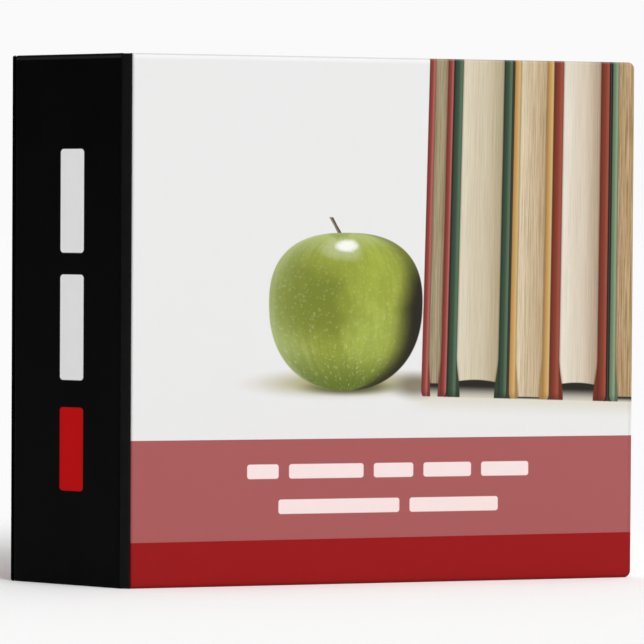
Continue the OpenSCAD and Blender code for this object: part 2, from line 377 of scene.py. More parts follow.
RED = ("5f2823", "913e36", "c26f68")
GREEN = ("222822", "39513f", "637d62")
TAN = ("94713f", "c99c58", "dab97f")
RUST = ("572519", "863c2c", "ac5845")
SAGE = ("455a44", "6c8465", "9bad8e")
BOOKS = [
    Book(170.3, 184.9, 3.7, RED, ("8a8062", "a39576", "8d7455"), 0.5, 7.0, 0.5, 0.35),
    Book(184.9, 219.6, 5.3, GREEN, ("e6dcc4", "d8ccb2", "b8a888"), 0.22, seam=0.75),
    Book(220.4, 244.0, 3.9, TAN, ("ecdcbc", "d6be9b", "c2a27c"), 0.5, 1.0, 0.3, 0.1),
    Book(244.0, 277.9, 5.8, RUST, ("f0e9da", "e2d5c1", "b79e88"), 0.2, seam=1.1),
    Book(278.6, 305.4, 4.1, SAGE, ("b28a56", "bd9562", "a68250"), 0.75, 2.6, 0.3),
]


def paint_board(tree, across, cloth, threads):
    """Cloth over a board, dark at its left edge and catching the light near its right."""
    dark, middle, light = cloth
    colour = tree.mix(tree.step(across, -0.1, 0.5), dark, middle)
    colour = tree.mix(tree.step(across, 0.45, 0.8, 0.0, 0.75), colour, light)
    colour = tree.mix(tree.step(across, 0.86, 1.05, 0.0, 0.8), colour, dark)
    return tree.mix(threads, colour, middle)


def paint_pages(tree, across, pages, streak, depth):
    """The cut edges of the leaves: a soft fall of light with fine streaks along them."""
    left, middle, right = pages
    colour = tree.mix(tree.step(across, 0.0, 0.5), left, middle)
    colour = tree.mix(tree.step(across, 0.5, 1.0), colour, right)
    colour = tree.mix(streak * depth, colour, linear("7d6a49"))
    return tree.mix(streak * (depth * -0.6) + depth * 0.45, colour, linear("efe3c6"))


def paint_books(tree, colour, u, v):
    """A row of upright books seen from their fore edges, standing on the white ground."""
    along = (u - BOOKS_FROM) / BOOKS_SPAN
    top_u = u + (BOOK_TOP - v) * (BOOK_LEAN * (1.0 - 0.85 * along))
    height = v - (BOOKS_FOOT - FOOT_FALL * along)
    ground = tree.step(height, -11.0, 1.0, 0.0, 0.36) * tree.step(top_u, 158.0, 176.0)
    colour = tree.mix(ground * tree.step(height, 0.0, 1.0, 1.0, 0.0), colour, linear("c9bb80"))
    grain = tree.noise(tree.vector(top_u * 2.6, v * 0.022), 1.0, 4.0, 0.75)
    streak = tree.step(grain, 0.38, 0.66)
    weave = tree.noise(tree.vector(top_u * 1.3, v * 2.4), 1.0, 3.0, 0.7)
    threads = tree.step(weave, 0.4, 0.7, 0.0, 0.4)
    flare = tree.step(height, 0.0, 24.0, 0.42, 0.0)
    for book in BOOKS:
        middle, half = (book.left + book.right) / 2, (book.right - book.left) / 2
        aside = top_u - middle
        side = size_of(aside)
        inner = half - book.board - flare * book.board
        foot = tree.math("MAXIMUM", FOOT_REACH - height, 0.0)
        outline = half - foot * foot * FOOT_CURVE
        inside = tree.step(side - outline, -0.25, 0.25, 1.0, 0.0) * tree.step(height, -0.3, 0.3)
        board_across = tree.math("FLOORED_MODULO", aside + half, 2 * half - book.board) / book.board
        cover = paint_board(tree, board_across, book.cloth, threads)
        cover = tree.mix(tree.step(height, 0.0, 5.0, 0.5, 0.0), cover, book.cloth[0])
        page_across = (aside + half - book.board) / (2 * half - 2 * book.board)
        pages = paint_pages(tree, page_across, book.pages, streak, book.streaks)
        pages = tree.mix(tree.step(inner - side, 0.0, 1.1, 0.5, 0.0), pages, linear("5a4c35"))
        arch = book.gap + book.arch * (1.0 - aside * aside / (half * half))
        under = tree.mix(tree.step(height, -0.5, book.gap * 0.9, 1.0, 0.0), PAGE_GAP, linear("d3cec0"))
        between = tree.mix(tree.step(height - arch, -0.35, 0.35), under, pages)
        whole = tree.mix(tree.step(inner - side, -0.25, 0.25), cover, between)
        colour = tree.mix(inside, colour, whole)
    for book, after in zip(BOOKS, BOOKS[1:]):
        aside = size_of(top_u - (book.right + after.left) / 2)
        foot = tree.math("MAXIMUM", FOOT_REACH + 0.2 - height, 0.0)
        off_line = aside - foot * foot * FOOT_CURVE
        line = tree.step(off_line, book.seam - 0.3, book.seam + 0.3, 0.96, 0.0)
        colour = tree.mix(line * tree.step(height, -0.4, 0.4), colour, linear("1d1613"))
    return colour


def paint_apple(tree, colour, u, v):
    """A green apple with a short stem, lit from the upper left, and its soft shadow."""
    for centre, half, start, end, strength, tone in APPLE_SHADOWS:
        x = (u - centre[0]) / half[0]
        y = (v - centre[1]) / half[1]
        away = tree.math("SQRT", x * x + y * y)
        colour = tree.mix(tree.step(away, start, end, strength, 0.0), colour, linear(tone))

    stem_up = (v - STEM_FOOT[1]) / STEM_RISE
    stem_x = u - (STEM_FOOT[0] - STEM_LEAN * stem_up)
    stem_half = 0.95 + 0.4 * size_of(stem_up - 0.5)
    stem = tree.step(size_of(stem_x) - stem_half, -0.2, 0.25, 1.0, 0.0)
    stem = stem * tree.step(stem_up, -0.2, 0.05) * tree.step(stem_up, 0.93, 1.0, 1.0, 0.0)
    stem_colour = tree.mix(tree.step(stem_x, -0.5, 0.6), linear("8f8172"), linear("4a3527"))
    colour = tree.mix(stem, colour, stem_colour)

    rise = v - APPLE_AT[1]
    upper = tree.math("GREATER_THAN", rise, 0.0)
    y = rise / (upper * (APPLE_HALF[1] - APPLE_HALF[2]) + APPLE_HALF[2])
    x = (u - APPLE_AT[0]) / APPLE_HALF[0] / (1.0 + 0.03 * y)
    power = upper * 0.3 + 2.2
    upward = size_of(y) ** power
    edge = size_of(x) ** power + upward
    silhouette = tree.step(edge, 0.98, 1.02, 1.0, 0.0)
    width = tree.math("POWER", tree.math("MAXIMUM", 1.0 - upward, 0.02), 0.43)
    local = x / width

    cloud = tree.noise(tree.vector(u * 0.07, v * 0.07), 1.0, 3.0, 0.6)
    drift = (cloud - 0.5) * 0.35

    def blot(at_x, at_y, size_x, size_y, strength, start=0.0, stray=1.0):
        """A soft oval patch, strayed from its place by the cloudy drift."""
        dx = (x + drift * stray - at_x) / size_x
        dy = (y - drift * stray - at_y) / size_y
        return tree.step(dx * dx + dy * dy, start, 1.0, strength, 0.0)

    streaks = tree.noise(tree.vector(local * 14.0, v * 0.035), 1.0, 4.0, 0.65)
    skin = tree.mix(tree.step(streaks, 0.35, 0.65), linear("9ba640"), linear("a9b44b"))
    skin = tree.mix(tree.step(local, -1.0, -0.25, 0.9, 0.0), skin, linear("a6b374"))
    skin = tree.mix(blot(-0.3, 0.12, 0.8, 0.8, 0.8), skin, linear("838b34"))
    skin = tree.mix(blot(-0.22, 0.16, 0.95, 0.7, 0.5, 0.0, 0.6), skin, linear("6c7628"))
    skin = tree.mix(blot(0.45, 0.15, 0.66, 1.0, 0.8, 0.0, 0.6), skin, linear("aab648"))
    skin = tree.mix(blot(0.4, -0.4, 0.6, 0.6, 0.6), skin, linear("b0be5a"))
    skin = tree.mix(blot(0.15, 0.62, 0.8, 0.32, 0.5), skin, linear("a9b647"))
    skin = tree.mix(tree.step(streaks * cloud, 0.18, 0.36, 0.25, 0.0), skin, linear("7a8930"))
    skin = tree.mix(tree.step(y, -1.0, -0.4, 0.9, 0.0), skin, linear("5c6c28"))
    skin = tree.mix(tree.step(y, 0.74, 1.0, 0.0, 0.75), skin, linear("bcc886"))
    for scale, spread in ((0.42, 0.0), (0.27, 5.0)):
        dots = tree.node("TexVoronoi")
        tree.feed(dots.inputs["Vector"], tree.vector(local * (45.0 * scale) + spread, v * scale))
        dots.inputs["Scale"].default_value = 1.0
        speck = tree.step(Number(tree, dots.outputs["Distance"]), 0.0, 0.36, 0.32, 0.0)
        speck = speck * tree.step(y, -0.6, 0.6, 1.0, 0.55)
        skin = tree.mix(speck, skin, linear("ccd69a"))
    side_light = tree.step(local, -1.0, -0.86, 0.55, 0.0) * tree.step(y, -0.95, -0.4, 0.9, 0.35)
    skin = tree.mix(side_light, skin, linear("cfd3a4"))
    high = tree.math("MAXIMUM", y, 0.0)
    dusk = tree.step(local - high * 0.35 + 0.08 * y, 0.58, 0.9) * tree.step(y, 0.3, 0.95, 1.0, 0.0)
    skin = tree.mix(tree.step(local - high * 0.2, 0.5, 0.85, 0.0, 0.55), skin, linear("5d5a2a"))
    skin = tree.mix(dusk * 0.97, skin, linear("25201d"))
    low_dusk = tree.step(local - y * 0.5, 0.85, 1.25) * tree.step(y, -1.0, -0.3, 1.0, 0.0)
    skin = tree.mix(low_dusk * 0.8, skin, linear("33331c"))
    skin = tree.mix(blot(-0.02, 0.985, 0.3, 0.07, 0.5), skin, linear("848f3c"))
    skin = tree.mix(blot(-0.06, 0.78, 0.34, 0.18, 0.38, 0.0, 0.5), skin, linear("dfe4c2"))
    skin = tree.mix(blot(0.0, 0.83, 0.18, 0.1, 1.0, 0.1, 0.35), skin, linear("fdfef8"))
    return tree.mix(silhouette, colour, skin)


def print_surface(name, gloss=0.15):
    """The laminated printed sheet: satin film with faint orange peel and rubbed patches."""
    tree = Tree(name, IOR=1.47, Specular_IOR_Level=gloss)
    peel = tree.noise(tree.object_mm(), 0.55, 3.0, 0.5)
    tree.bump(peel, 0.1, 0.25)
    rubbed = tree.noise(tree.object_mm(), 0.035, 4.0, 0.65)
    tree.use("Roughness", tree.step(rubbed, 0.3, 0.75, 0.3, 0.42))
    return tree


# Plain bars in place of words on the pale band: left, right, height of the middle
WORDS = [
    (66.0, 84.0, 63.0), (90.0, 133.0, 63.0), (139.0, 162.0, 63.0), (168.0, 196.0, 63.0),
    (202.0, 230.0, 63.0), (84.0, 154.0, 43.5), (160.0, 212.0, 43.5),
]
WORD_HALF_H = 4.0
WORD_CORNER_R = 1.5
# The same on the spine, where they run upwards: low end, high end, colour
SPINE_WORDS = [(52, 98, "cc0c0f"), (113, 171, "fdfdfd"), (183, 240, "fdfdfd")]
SPINE_WORD_U = 37.0
SPINE_WORD_HALF_W = 8.0
SPINE_WORD_CORNER_R = 2.0

# Heights of the painted highlight line along the top folds and of the painted shade on the rim above it
CREST_V = 290.1
RIM_V = 291.2
# Distance from a cover's free edge of the painted shade line that stands in for a pressed line
FORE_EDGE = 2.0
# Width of the spine's black ink that runs over the rear fold onto the back cover
INK_OVERLAP = 2.2


def white_ground(tree, u, v):
    """White with a faint cloudiness, and a painted highlight line along the top fold."""
    soft = tree.noise(tree.vector(u * 0.01, v * 0.01), 1.0, 1.0)
    colour = tree.mix(soft * 0.25, WHITE, linear("e9e9e7"))
    # Painted highlight: a lighter line along the top fold
    return tree.mix(tree.step(size_of(v - CREST_V), 0.4, 1.6, 0.6, 0.0), colour, linear("fbfbfb"))


def painted_top_rim_shade(tree, colour, v):
    """Painted shade on the very edge of the top fold."""
    # Painted shade: the rim above RIM_V is darkened towards grey
    return tree.mix(tree.step(v, RIM_V - 0.4, RIM_V + 0.4, 0.0, 0.3), colour, linear("7d7b76"))


def fore_edge(tree, colour, u):
    """Painted shade beside a cover's free edge: a dark line standing in for a pressed line, and a darkening of the
    edge itself.
    """
    # Painted shade: a thin dark line standing in for a pressed line
    pressed = tree.step(size_of(u - FACE_W + FORE_EDGE), 0.2, 0.8, 0.09, 0.0)
    # Painted shade over the free edge beyond that line
    painted_edge_shade = tree.step(u, FACE_W - FORE_EDGE, FACE_W - FORE_EDGE + 0.5, 0.0, 0.08)
    return tree.mix(pressed + painted_edge_shade, colour, linear("1c0f0d"))


def bands(tree, colour, u, v):
    """The pale and the deep red band across the foot of the covers. The deep one is cut a little askew, and has
    painted shade along its foot.
    """
    pale = tree.step(v, PINK_TOP - BAND_SOFT, PINK_TOP + BAND_SOFT, 1.0, 0.0)
    colour = tree.mix(pale, colour, linear("ad5e5e"))
    # Painted shade: the deep red darkens over its lowest 3 mm, along the round bottom edge
    red = tree.mix(tree.step(v, 0.6, 3.2), linear("8e0508"), linear("9c1013"))
    level = v - u * RED_RISE
    return tree.mix(tree.step(level, RED_TOP - BAND_SOFT, RED_TOP + BAND_SOFT, 1.0, 0.0), colour, red)


def front_print():
    """The printed front cover: an apple and books on white, over two bands with bars for the words."""
    tree = print_surface("front_print")
    u, v = tree.print_mm()
    colour = white_ground(tree, u, v)
    colour = paint_apple(tree, colour, u, v)
    colour = paint_books(tree, colour, u, v)
    colour = bands(tree, colour, u, v)
    for left, right, level in WORDS:
        centre, half = ((left + right) / 2, level), ((right - left) / 2, WORD_HALF_H)
        bar = rounded_bar(tree, u, v, centre, half, WORD_CORNER_R)
        colour = tree.mix(bar, colour, linear("fce9e7"))
    tree.use("Base Color", fore_edge(tree, painted_top_rim_shade(tree, colour, v), u))
    return tree.material


def back_print():
    """The back cover: white over the same two bands, with the spine's ink along its hinge."""
    tree = print_surface("back_print", 0.05)
    u, v = tree.print_mm()
    colour = bands(tree, white_ground(tree, u, v), u, v)
    colour = fore_edge(tree, painted_top_rim_shade(tree, colour, v), u)
    ink = tree.step(u, INK_OVERLAP - 0.1, INK_OVERLAP + 0.1, 1.0, 0.0)
    tree.use("Base Color", tree.mix(ink, colour, BLACK_INK))
    return tree.material


def spine_print():
    """The black spine, a little dusty, with a painted highlight along its top fold and three plain bars."""
    tree = print_surface("spine_print", 0.06)
    u, v = tree.print_mm()
    dust = tree.noise(tree.object_mm(), 0.02, 5.0, 0.7)
    colour = tree.mix(tree.step(dust, 0.4, 0.8, 0.0, 0.5), BLACK_INK, linear("050505"))
    # Painted highlight: a lighter grey line along the top fold
    painted_crest_highlight = tree.step(size_of(v - CREST_V), 0.35, 1.1, 0.9, 0.0)
    colour = tree.mix(painted_crest_highlight, colour, linear("262626"))
    for low, high, ink in SPINE_WORDS:
        centre, half = (SPINE_WORD_U, (low + high) / 2), (SPINE_WORD_HALF_W, (high - low) / 2)
        bar = rounded_bar(tree, u, v, centre, half, SPINE_WORD_CORNER_R)
        colour = tree.mix(bar, colour, linear(ink))
    tree.use("Base Color", colour)
    return tree.material


# ---------------------------------------------------------------- the other materials
def hinge_film(name, gloss):
    """Black flexible film, finely creased and a little paler where it is worn."""
    tree = Tree(name, IOR=1.5, Specular_IOR_Level=gloss)
    place = tree.object_mm()
    crease = tree.noise(place, 0.9, 4.0, 0.6)
    tree.bump(crease, 0.2, 0.3)
    worn = tree.noise(place, 0.12, 4.0, 0.7)
    tree.use("Base Color", tree.mix(tree.step(worn, 0.35, 0.8), linear("040404"), linear("0b0b0b")))
    tree.use("Roughness", tree.step(worn, 0.3, 0.8, 0.42, 0.55))
    return tree.material


def liner_paper():
    """Matt coated paper with its fibres and a faint yellowing in clouds."""
    tree = Tree("liner", Roughness=0.62)
    place = tree.object_mm()
    fibre = tree.noise(place, 2.6, 5.0, 0.7)
    cloud = tree.noise(place, 0.03, 4.0, 0.6)
    colour = tree.mix(tree.step(fibre, 0.35, 0.7, 0.0, 0.3), linear("e6e5e1"), linear("d3d1ca"))
    tree.use("Base Color", tree.mix(tree.step(cloud, 0.45, 0.8, 0.0, 0.35), colour, linear("dad8d2")))
    tree.use("Roughness", tree.step(cloud, 0.3, 0.7, 0.56, 0.68))
    tree.bump(fibre, 0.25, 0.06)
    return tree.material


def pocket_film():
    """Milky plastic film, a little clearer in places, with the fine grain of its rollers."""
    tree = Tree("pocket_sheet", IOR=1.49, Coat_Weight=0.3, Coat_Roughness=0.12)
    place = tree.object_mm()
    clear = tree.noise(place, 0.012, 2.0, 0.4)
    haze = tree.noise(place, 0.03, 2.0, 0.4)
    grain = tree.noise(place, 3.2, 3.0, 0.6)
    milky = tree.mix(clear, linear("dfe3e6"), linear("e9ebec"))
    tree.use("Base Color", tree.mix(haze, milky, linear("dde1e4")))
    tree.use("Roughness", tree.step(haze, 0.0, 1.0, 0.27, 0.35))
    tree.bump(grain, 0.08, 0.05)
    return tree.material


def chipboard():
    """Rough grey board with flecks of its fibres."""
    tree = Tree("chipboard", Roughness=0.85)
    place = tree.object_mm()
    fleck = tree.noise(place, 1.6, 6.0, 0.75)
    tree.use("Base Color", tree.mix(tree.step(fleck, 0.35, 0.7), linear("8f8576"), linear("b3a995")))
    tree.bump(fleck, 0.4, 0.1)
    return tree.material


def nickel():
    """Bright plate over brushed steel, hazed in places."""
    tree = Tree("nickel", Metallic=1.0, Roughness=0.16)
    place = tree.object_mm()
    haze = tree.noise(place, 0.12, 5.0, 0.65)
    brushed = tree.node("VectorMath", operation="MULTIPLY")
    tree.feed(brushed.inputs[0], place)
    brushed.inputs[1].default_value = (6.0, 6.0, 0.25)
    scratch = tree.noise(brushed.outputs[0], 1.0, 3.0, 0.7)
    tint = tree.mix(tree.step(haze, 0.35, 0.75), linear("dbd9d5"), linear("cfcdc8"))
    tree.use("Base Color", tint)
    tree.use("Roughness", tree.step(haze * 0.5 + scratch * 0.5, 0.3, 0.75, 0.13, 0.22))
    tree.bump(scratch, 0.04, 0.04)
    return tree.material


def grip_plastic():
    """Black moulded plastic with a fine grain, worn smoother in places."""
    tree = Tree("grip", Roughness=0.5)
    place = tree.object_mm()
    grain = tree.noise(place, 4.0, 3.0, 0.6)
    wear = tree.noise(place, 0.25, 3.0, 0.6)
    tree.use("Base Color", tree.mix(tree.step(wear, 0.4, 0.8), linear("161616"), linear("232323")))
    tree.use("Roughness", tree.step(wear, 0.3, 0.8, 0.42, 0.58))
    tree.bump(grain, 0.35, 0.08)
    return tree.material


# One for each material slot of the record, and a duller film for the rear hinge
MATERIALS = {
    "front_print": front_print(),
    "back_print": back_print(),
    "spine_print": spine_print(),
    "hinge_film": hinge_film("hinge_film", 0.12),
    "dull_film": hinge_film("dull_hinge_film", 0.0),
    "liner": liner_paper(),
    "pocket_sheet": pocket_film(),
    "chipboard": chipboard(),
    "nickel": nickel(),
    "grip": grip_plastic(),
}


def dress_cad_nodes():
    """Every CAD node gets the material of its slot in the record."""
    for entry in frame["record"]["subparts"]:
        mesh = frame["nodes"][entry["node"]].data
        mesh.materials.clear()
        mesh.materials.append(MATERIALS[entry["material_slot"]])


# ---------------------------------------------------------------- covers and spine
# Rounding of a wrap's outer and inner edges, and of the board's inside it
EDGE_R = 1.6
INNER_EDGE_R = 1.0
BOARD_EDGE_R = 1.25
BOARD_INNER_EDGE_R = 0.7
# How far beyond a rounding the first ring of a flat face lies, which keeps the shading flat
FLAT_START = 0.4
# A liner's corners away from the hinge and at it, how far its middle dips, how far it stays off the
# margin under it, and how far its middle sinks below the margin's level
LINER_CORNER_R = 2.0
LINER_HINGE_CORNER_R = 0.4
LINER_DIP = 0.12
LINER_CLEAR = 0.02
LINER_SINK = 0.15
# The gap between a liner and the hinge strip
LINER_HINGE_GAP = 0.3


def skin_profile():
    """Section of a wrap: outer face, round edge, turned-in margin, and back along its inner side."""
    outside = [(EDGE_R + FLAT_START, 0.0)] + round_over(EDGE_R, 0.0, 0.0)
    under = round_under(INNER_EDGE_R, 0.0, WRAP_TOP)
    margin = [(INNER_EDGE_R + FLAT_START, WRAP_TOP), (TURN_IN - 0.1, WRAP_TOP), (TURN_IN, WRAP_TOP - 0.1)]
    inside_margin = [(TURN_IN, WRAP_TOP - WRAP_T), (INNER_EDGE_R, WRAP_TOP - WRAP_T)]
    cavity = [(WRAP_T, WRAP_TOP - INNER_EDGE_R), (WRAP_T, EDGE_R), (EDGE_R, WRAP_T)]
    return outside + under + margin + inside_margin + cavity


def cover_skin(name, matrix, slot, body, hinge_corner):
    """The printed wrap of the front or the back cover."""
    radii = (hinge_corner, CORNER_R, CORNER_R, hinge_corner)
    piece = lofted_panel(name + "_skin", (HINGE_R, 0.0), (COVER_W, COVER_H), radii, skin_profile(),
                         matrix, MATERIALS[slot], body, print_shift=HINGE_R)
    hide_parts(name + "_wrap")


def spine_skin():
    """The printed wrap of the spine."""
    radii = (HINGE_CORNER_R,) * 4
    piece = lofted_panel("spine_skin", (HINGE_R, 0.0), (SPINE_W - HINGE_R, COVER_H), radii, skin_profile(),
                         SPINE, MATERIALS["spine_print"], "spine")
    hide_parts("spine_wrap")


def board_core(name, right, corner, matrix, body, hinge_corner):
    """The chipboard inside a wrap, its cut edges softened by the press."""
    low = (HINGE_R + WRAP_T, WRAP_T)
    high = (right - WRAP_T, COVER_H - WRAP_T)
    radii = (hinge_corner, corner, corner, hinge_corner)
    face, back = WRAP_T, WRAP_T + BOARD_T
    profile = [(BOARD_EDGE_R + FLAT_START, face)] + round_over(BOARD_EDGE_R, 0.0, face)
    profile += round_under(BOARD_INNER_EDGE_R, 0.0, back) + [(BOARD_INNER_EDGE_R + FLAT_START, back)]
    piece = lofted_panel(name + "_core", low, high, radii, profile, matrix, MATERIALS["chipboard"], body)
    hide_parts(name)


def liner_sheet(name, right, free_gap, matrix, body):
    """Inside sheet from the hinge to just short of the free edge. It dips inside the turned-in margin."""
    under_edge, under_middle = WRAP_TOP + LINER_CLEAR, WRAP_TOP - LINER_SINK
    underside = [(TURN_IN + 1.0, under_middle), (TURN_IN, under_edge), (0.0, under_edge)]
    soft_edge = [(0.0, PANEL_T - 0.15), (0.08, PANEL_T - 0.05), (0.25, PANEL_T)]
    top = [(TURN_IN - 0.2, PANEL_T), (TURN_IN + 1.2, PANEL_T - LINER_DIP)]
    low = (HINGE_R + LINER_HINGE_GAP, LINER_GAP)
    high = (right - free_gap, COVER_H - LINER_GAP)
    radii = (LINER_HINGE_CORNER_R, LINER_CORNER_R, LINER_CORNER_R, LINER_HINGE_CORNER_R)
    piece = lofted_panel(name + "_sheet", low, high, radii, underside + soft_edge + top,
                         matrix, MATERIALS["liner"], body)
    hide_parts(name)


# ---------------------------------------------------------------- pockets
FRONT_POCKET_W = 262.0
BACK_POCKET_W = 205.0
LOW_POCKET_H = 130.0
HIGH_POCKET_H = 195.0
# The welded border: its width, the width of its two ramps, and how deep it is pressed between them
SEAM_W = 3.2
SEAM_RAMP = 0.4
SEAM_PRESS = 0.12
# How far the open top bows out, and the rounding at the two ends of its free edge
POCKET_BOW = 2.4
LIP_ROUND = 5.0
# An edge between two faces is drawn sharp from this angle on
POCKET_SHARP = math.radians(40)
# Spacing of the mesh across and up
COLUMN_PITCH = 6.0
ROW_PITCH = 1.6


def steps_between(low, high, wanted):
    """Evenly spaced numbers from low to high, about wanted apart."""
    count = max(2, round((high - low) / wanted))
    return [low + (high - low) * k / count for k in range(count + 1)]


def pocket_sheet(name, width, height, level, matrix, body):
    """A film welded down along both sides and its foot, whose open top bows away from the cover."""
    left, low = COVER_W - POCKET_MARGIN - width, POCKET_MARGIN
    right, top = left + width, low + height
    weld = [0.0, SEAM_RAMP, SEAM_W - SEAM_RAMP, SEAM_W, SEAM_W + 0.5]
    inner_x = steps_between(left + SEAM_W + 4.0, right - SEAM_W - 4.0, COLUMN_PITCH)
    xs = [left + w for w in weld] + inner_x + [right - w for w in reversed(weld)]
    zs = [low + w for w in weld] + steps_between(low + SEAM_W + 1.5, top, ROW_PITCH)

    def bow(x, z):
        """How far the film stands off, with a slight ripple."""
        across = max(0.0, (x - left - SEAM_W) * (right - SEAM_W - x)) / (width / 2 - SEAM_W) ** 2
        up = max(0.0, z - low - SEAM_W) / (HIGH_POCKET_H - SEAM_W)
        ripple = 1.0 + 0.1 * math.sin(x * 0.043 + level) + 0.06 * math.sin(x * 0.091 - z * 0.03)
        full = min(1.0, across * 1.6) ** 0.7 * (1.0 - (1.0 - up) ** 2)
        return POCKET_BOW * full * ripple * (1.0 + 0.5 * level)

    def pressed(x, z):
        """How deep the film is pressed, which is only within the welded border."""
        edge = min(x - left, right - x, z - low)
        inside = SEAM_RAMP <= edge <= SEAM_W - SEAM_RAMP
        return SEAM_PRESS if inside else 0.0

    def notched(x):
        """The free edge, cut down a little at its two ends."""
        edge = min(x - left, right - x)
        over = max(0.0, 1.0 - edge / LIP_ROUND)
        return LIP_ROUND * (1.0 - math.sqrt(1.0 - over * over))

    base = PANEL_T + level * POCKET_T
    columns, rows = len(xs), len(zs)
    points = []
    for layer in (0.0, POCKET_T):
        for z in zs:
            for x in xs:
                height_here = low + (z - low) * (top - notched(x) - low) / (top - low)
                sink = pressed(x, z) if layer else 0.0
                points.append((x, base + bow(x, z) + layer - sink, height_here))
    faces = []
    sheet = columns * rows
    for j in range(rows - 1):
        for i in range(columns - 1):
            a, b = j * columns + i, (j + 1) * columns + i
            faces.append((a, a + 1, b + 1, b))
            faces.append((sheet + a, sheet + b, sheet + b + 1, sheet + a + 1))
    rim = list(range(columns))
    rim += [j * columns + columns - 1 for j in range(1, rows)]
    rim += [(rows - 1) * columns + i for i in reversed(range(columns - 1))]
    rim += [j * columns for j in reversed(range(1, rows - 1))]
    for a, b in zip(rim, rim[1:] + rim[:1]):
        faces.append((a, sheet + a, sheet + b, b))
    piece = make_piece(name + "_sheet", points, faces, matrix, MATERIALS["pocket_sheet"], body)
    piece.data.set_sharp_from_angle(angle=POCKET_SHARP)
    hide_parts(name)


# ---------------------------------------------------------------- hinge strips
# How far the films' ends stay below the covers' ends, and how much further halfway across a strip
FILM_SAG = 0.05
FILM_DIP = 0.2
# How much further at the back cover, which keeps the rear film inside that cover's round corners
REAR_END_SAG = 2.2
# The rear film's edges lie this deep under the outer faces and reach this far over the round edges
REAR_SUNK = 0.1
REAR_LAP = 0.3
# Radius of the bend at each end of a strip
FRONT_BEND_R = 3.4
REAR_BEND_R = 3.6
# Pale lining on the inner side of the film
LINING_T = 0.1
FILM_SHARP = math.radians(50)


def hinge_path(start, start_way, end, end_way, bend_r, steps=5):
    """Outer face of a strip in plan: a bend at each end and a straight stretch between.

    The strip leaves its start along start_way and reaches its end along end_way.
    """
    turn = start_way.angle(end_way)
    lead = bend_r * math.tan(turn / 4)
    first, second = start + start_way * lead, end - end_way * lead
    middle = (second - first).normalized()

    def bend(at, way_in, way_out):
        """Points of a smooth turn at a corner of the path."""
        a, b = at - way_in * lead, at + way_out * lead
        turns = [k / steps for k in range(steps + 1)]
        return [a * (1 - t) ** 2 + at * 2 * t * (1 - t) + b * t * t for t in turns]

    halfway = (first + second) / 2
    return bend(first, start_way, middle) + [halfway] + bend(second, middle, end_way)


def offset_path(path, distance, inward):
    """The path moved sideways by distance, towards the side that inward lies on."""
    moved = []
    for k, point in enumerate(path):
        before, after = path[max(k - 1, 0)], path[min(k + 1, len(path) - 1)]
        way = (after - before).normalized()
        side = Vector((-way.y, way.x))
        if side.dot(inward) < 0:
            side.negate()
        moved.append(point + side * distance)
    return moved


def hinge_layer(name, path, inward, depth0, depth1, material, dip, end_sag):
    """One layer of a hinge strip, which bends between two panels.

    dip lowers its ends halfway across, and end_sag at its second panel.
    """
    outer, inner = offset_path(path, depth0, inward), offset_path(path, depth1, inward)
    count = len(path)
    points, faces = [], []
    for side in (outer, inner):
        for k, p in enumerate(side):
            along = k / (count - 1)
            sag = FILM_SAG + dip * math.sin(math.pi * along) + end_sag * along * along
            points += [(p.x, p.y, sag), (p.x, p.y, COVER_H - sag)]
    inner_from = 2 * count
    for k in range(count - 1):
        a, b = 2 * k, 2 * k + 2
        faces.append((a, b, b + 1, a + 1))
        faces.append((inner_from + a, inner_from + a + 1, inner_from + b + 1, inner_from + b))
        faces.append((a, inner_from + a, inner_from + b, b))
        faces.append((a + 1, b + 1, inner_from + b + 1, inner_from + a + 1))
    end = 2 * (count - 1)
    faces.append((0, 1, inner_from + 1, inner_from))
    faces.append((end, inner_from + end, inner_from + end + 1, end + 1))
    piece = make_piece(name, points, faces, PLAN, material, None)
    piece.data.set_sharp_from_angle(angle=FILM_SHARP)
    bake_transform(piece)
    return piece


def plan_point(matrix, x, y):
    """A point of a panel's axes, in those of the shut binder's plan."""
    at = PLAN.inverted() @ (matrix @ Vector((x, y, 0)))
    return Vector((at.x, at.y))


def plan_way(matrix):
    """The way across a panel, away from its hinge, in the same plan."""
    return (plan_point(matrix, 1, 0) - plan_point(matrix, 0, 0)).normalized()


def hinge_strips():
    """The two films and their linings, laid in a curve between the spine and each cover as the binder stands."""
    front_start, front_end = Vector((0, HINGE_R)), plan_point(FRONT, HINGE_R, 0)
    rear_start = Vector((REAR_SUNK, SPINE_W - HINGE_R - REAR_LAP))
    rear_end = plan_point(BACK, HINGE_R + REAR_LAP, REAR_SUNK)
    front_in, rear_in = Vector((1, 0.4)), Vector((1, -1))
    front_path = hinge_path(front_start, Vector((0, -1)), front_end, plan_way(FRONT), FRONT_BEND_R)
    rear_path = hinge_path(rear_start, Vector((0, 1)), rear_end, plan_way(BACK), REAR_BEND_R)
    strips = [
        ("front", front_path, front_in, ("spine", "front_cover"), "hinge_film", 0.0),
        ("rear", rear_path, rear_in, ("spine", "back_cover"), "dull_film", REAR_END_SAG),
    ]
    between = FILM_T - LINING_T
    for side, path, inward, bodies, material, end_sag in strips:
        film = hinge_layer(side + "_hinge_film", path, inward, 0.0, between,
                           MATERIALS[material], FILM_DIP, end_sag)
        hinge_layer(side + "_hinge_lining", path, inward, between, FILM_T,
                    MATERIALS["liner"], LINER_GAP, end_sag)
        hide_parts(side + "_hinge_strip")


# ---------------------------------------------------------------- camera, stage and lights
# The camera's place in metres, its three turns in degrees, and its lens and sensor in millimetres
CAMERA_AT = (-1.7724, -1.1455, 0.2018)
CAMERA_TILT = 88.424
CAMERA_HEADING = -56.592
CAMERA_ROLL = 0.346
CAMERA_LENS = 207.24
CAMERA_SENSOR = 36.0
CAMERA_REACH = 100.0


